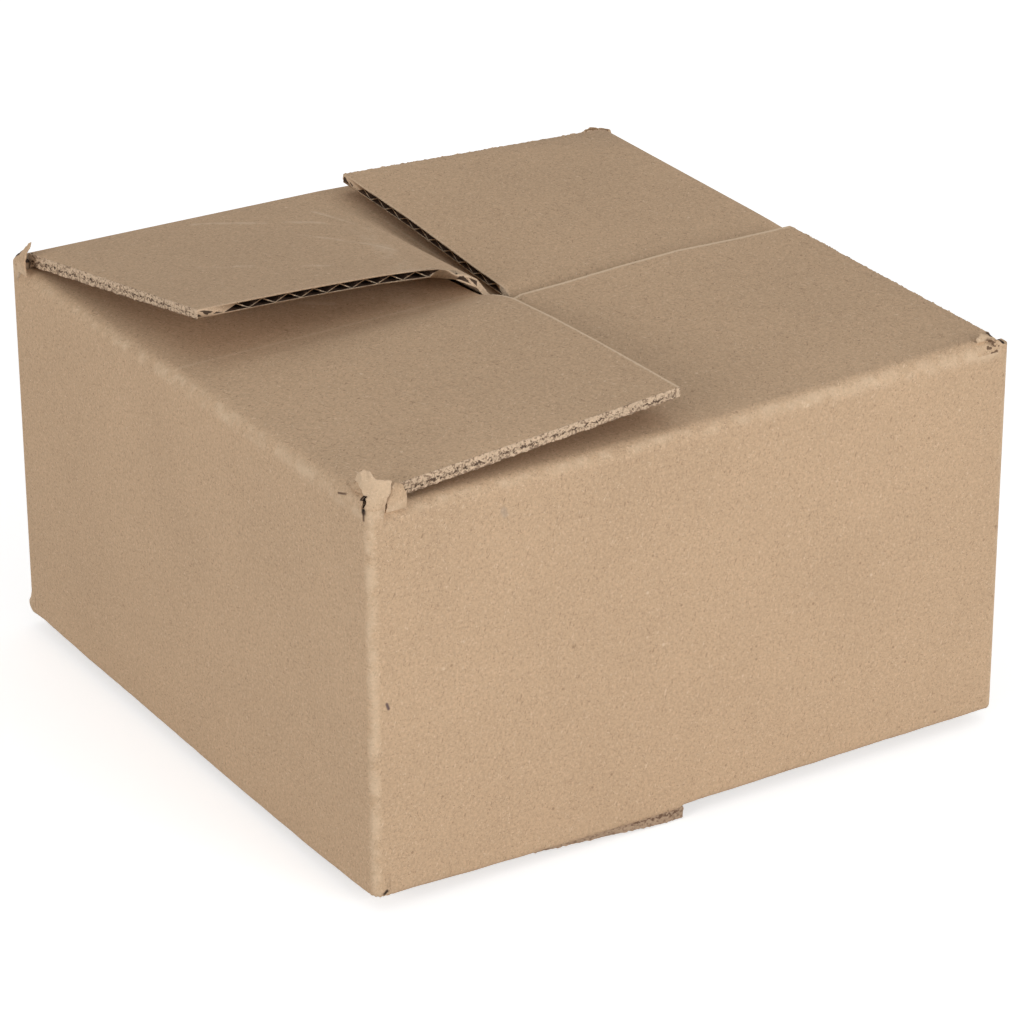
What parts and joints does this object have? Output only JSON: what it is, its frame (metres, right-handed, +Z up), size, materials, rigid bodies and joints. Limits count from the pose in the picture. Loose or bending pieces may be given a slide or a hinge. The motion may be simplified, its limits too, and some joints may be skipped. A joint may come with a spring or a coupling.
{
  "type": "closed cardboard box",
  "caption": "Square shipping box of single-wall corrugated board, closed without tape by flaps that lock over and under each other.",
  "frame": {"origin": "centre of the box's footprint, on the floor that its bottom flaps stand on", "axes": "+Z up, +X to the right wall, -Y out of the front wall; the walls are square to X and Y"},
  "size_m": [0.156, 0.156, 0.1016],
  "materials": {
    "kraft_board": "matt brown kraft paper with fine fibres"
  },
  "bodies": {
    "root": {"folded_carton": "kraft_board"}
  },
  "joints": []
}
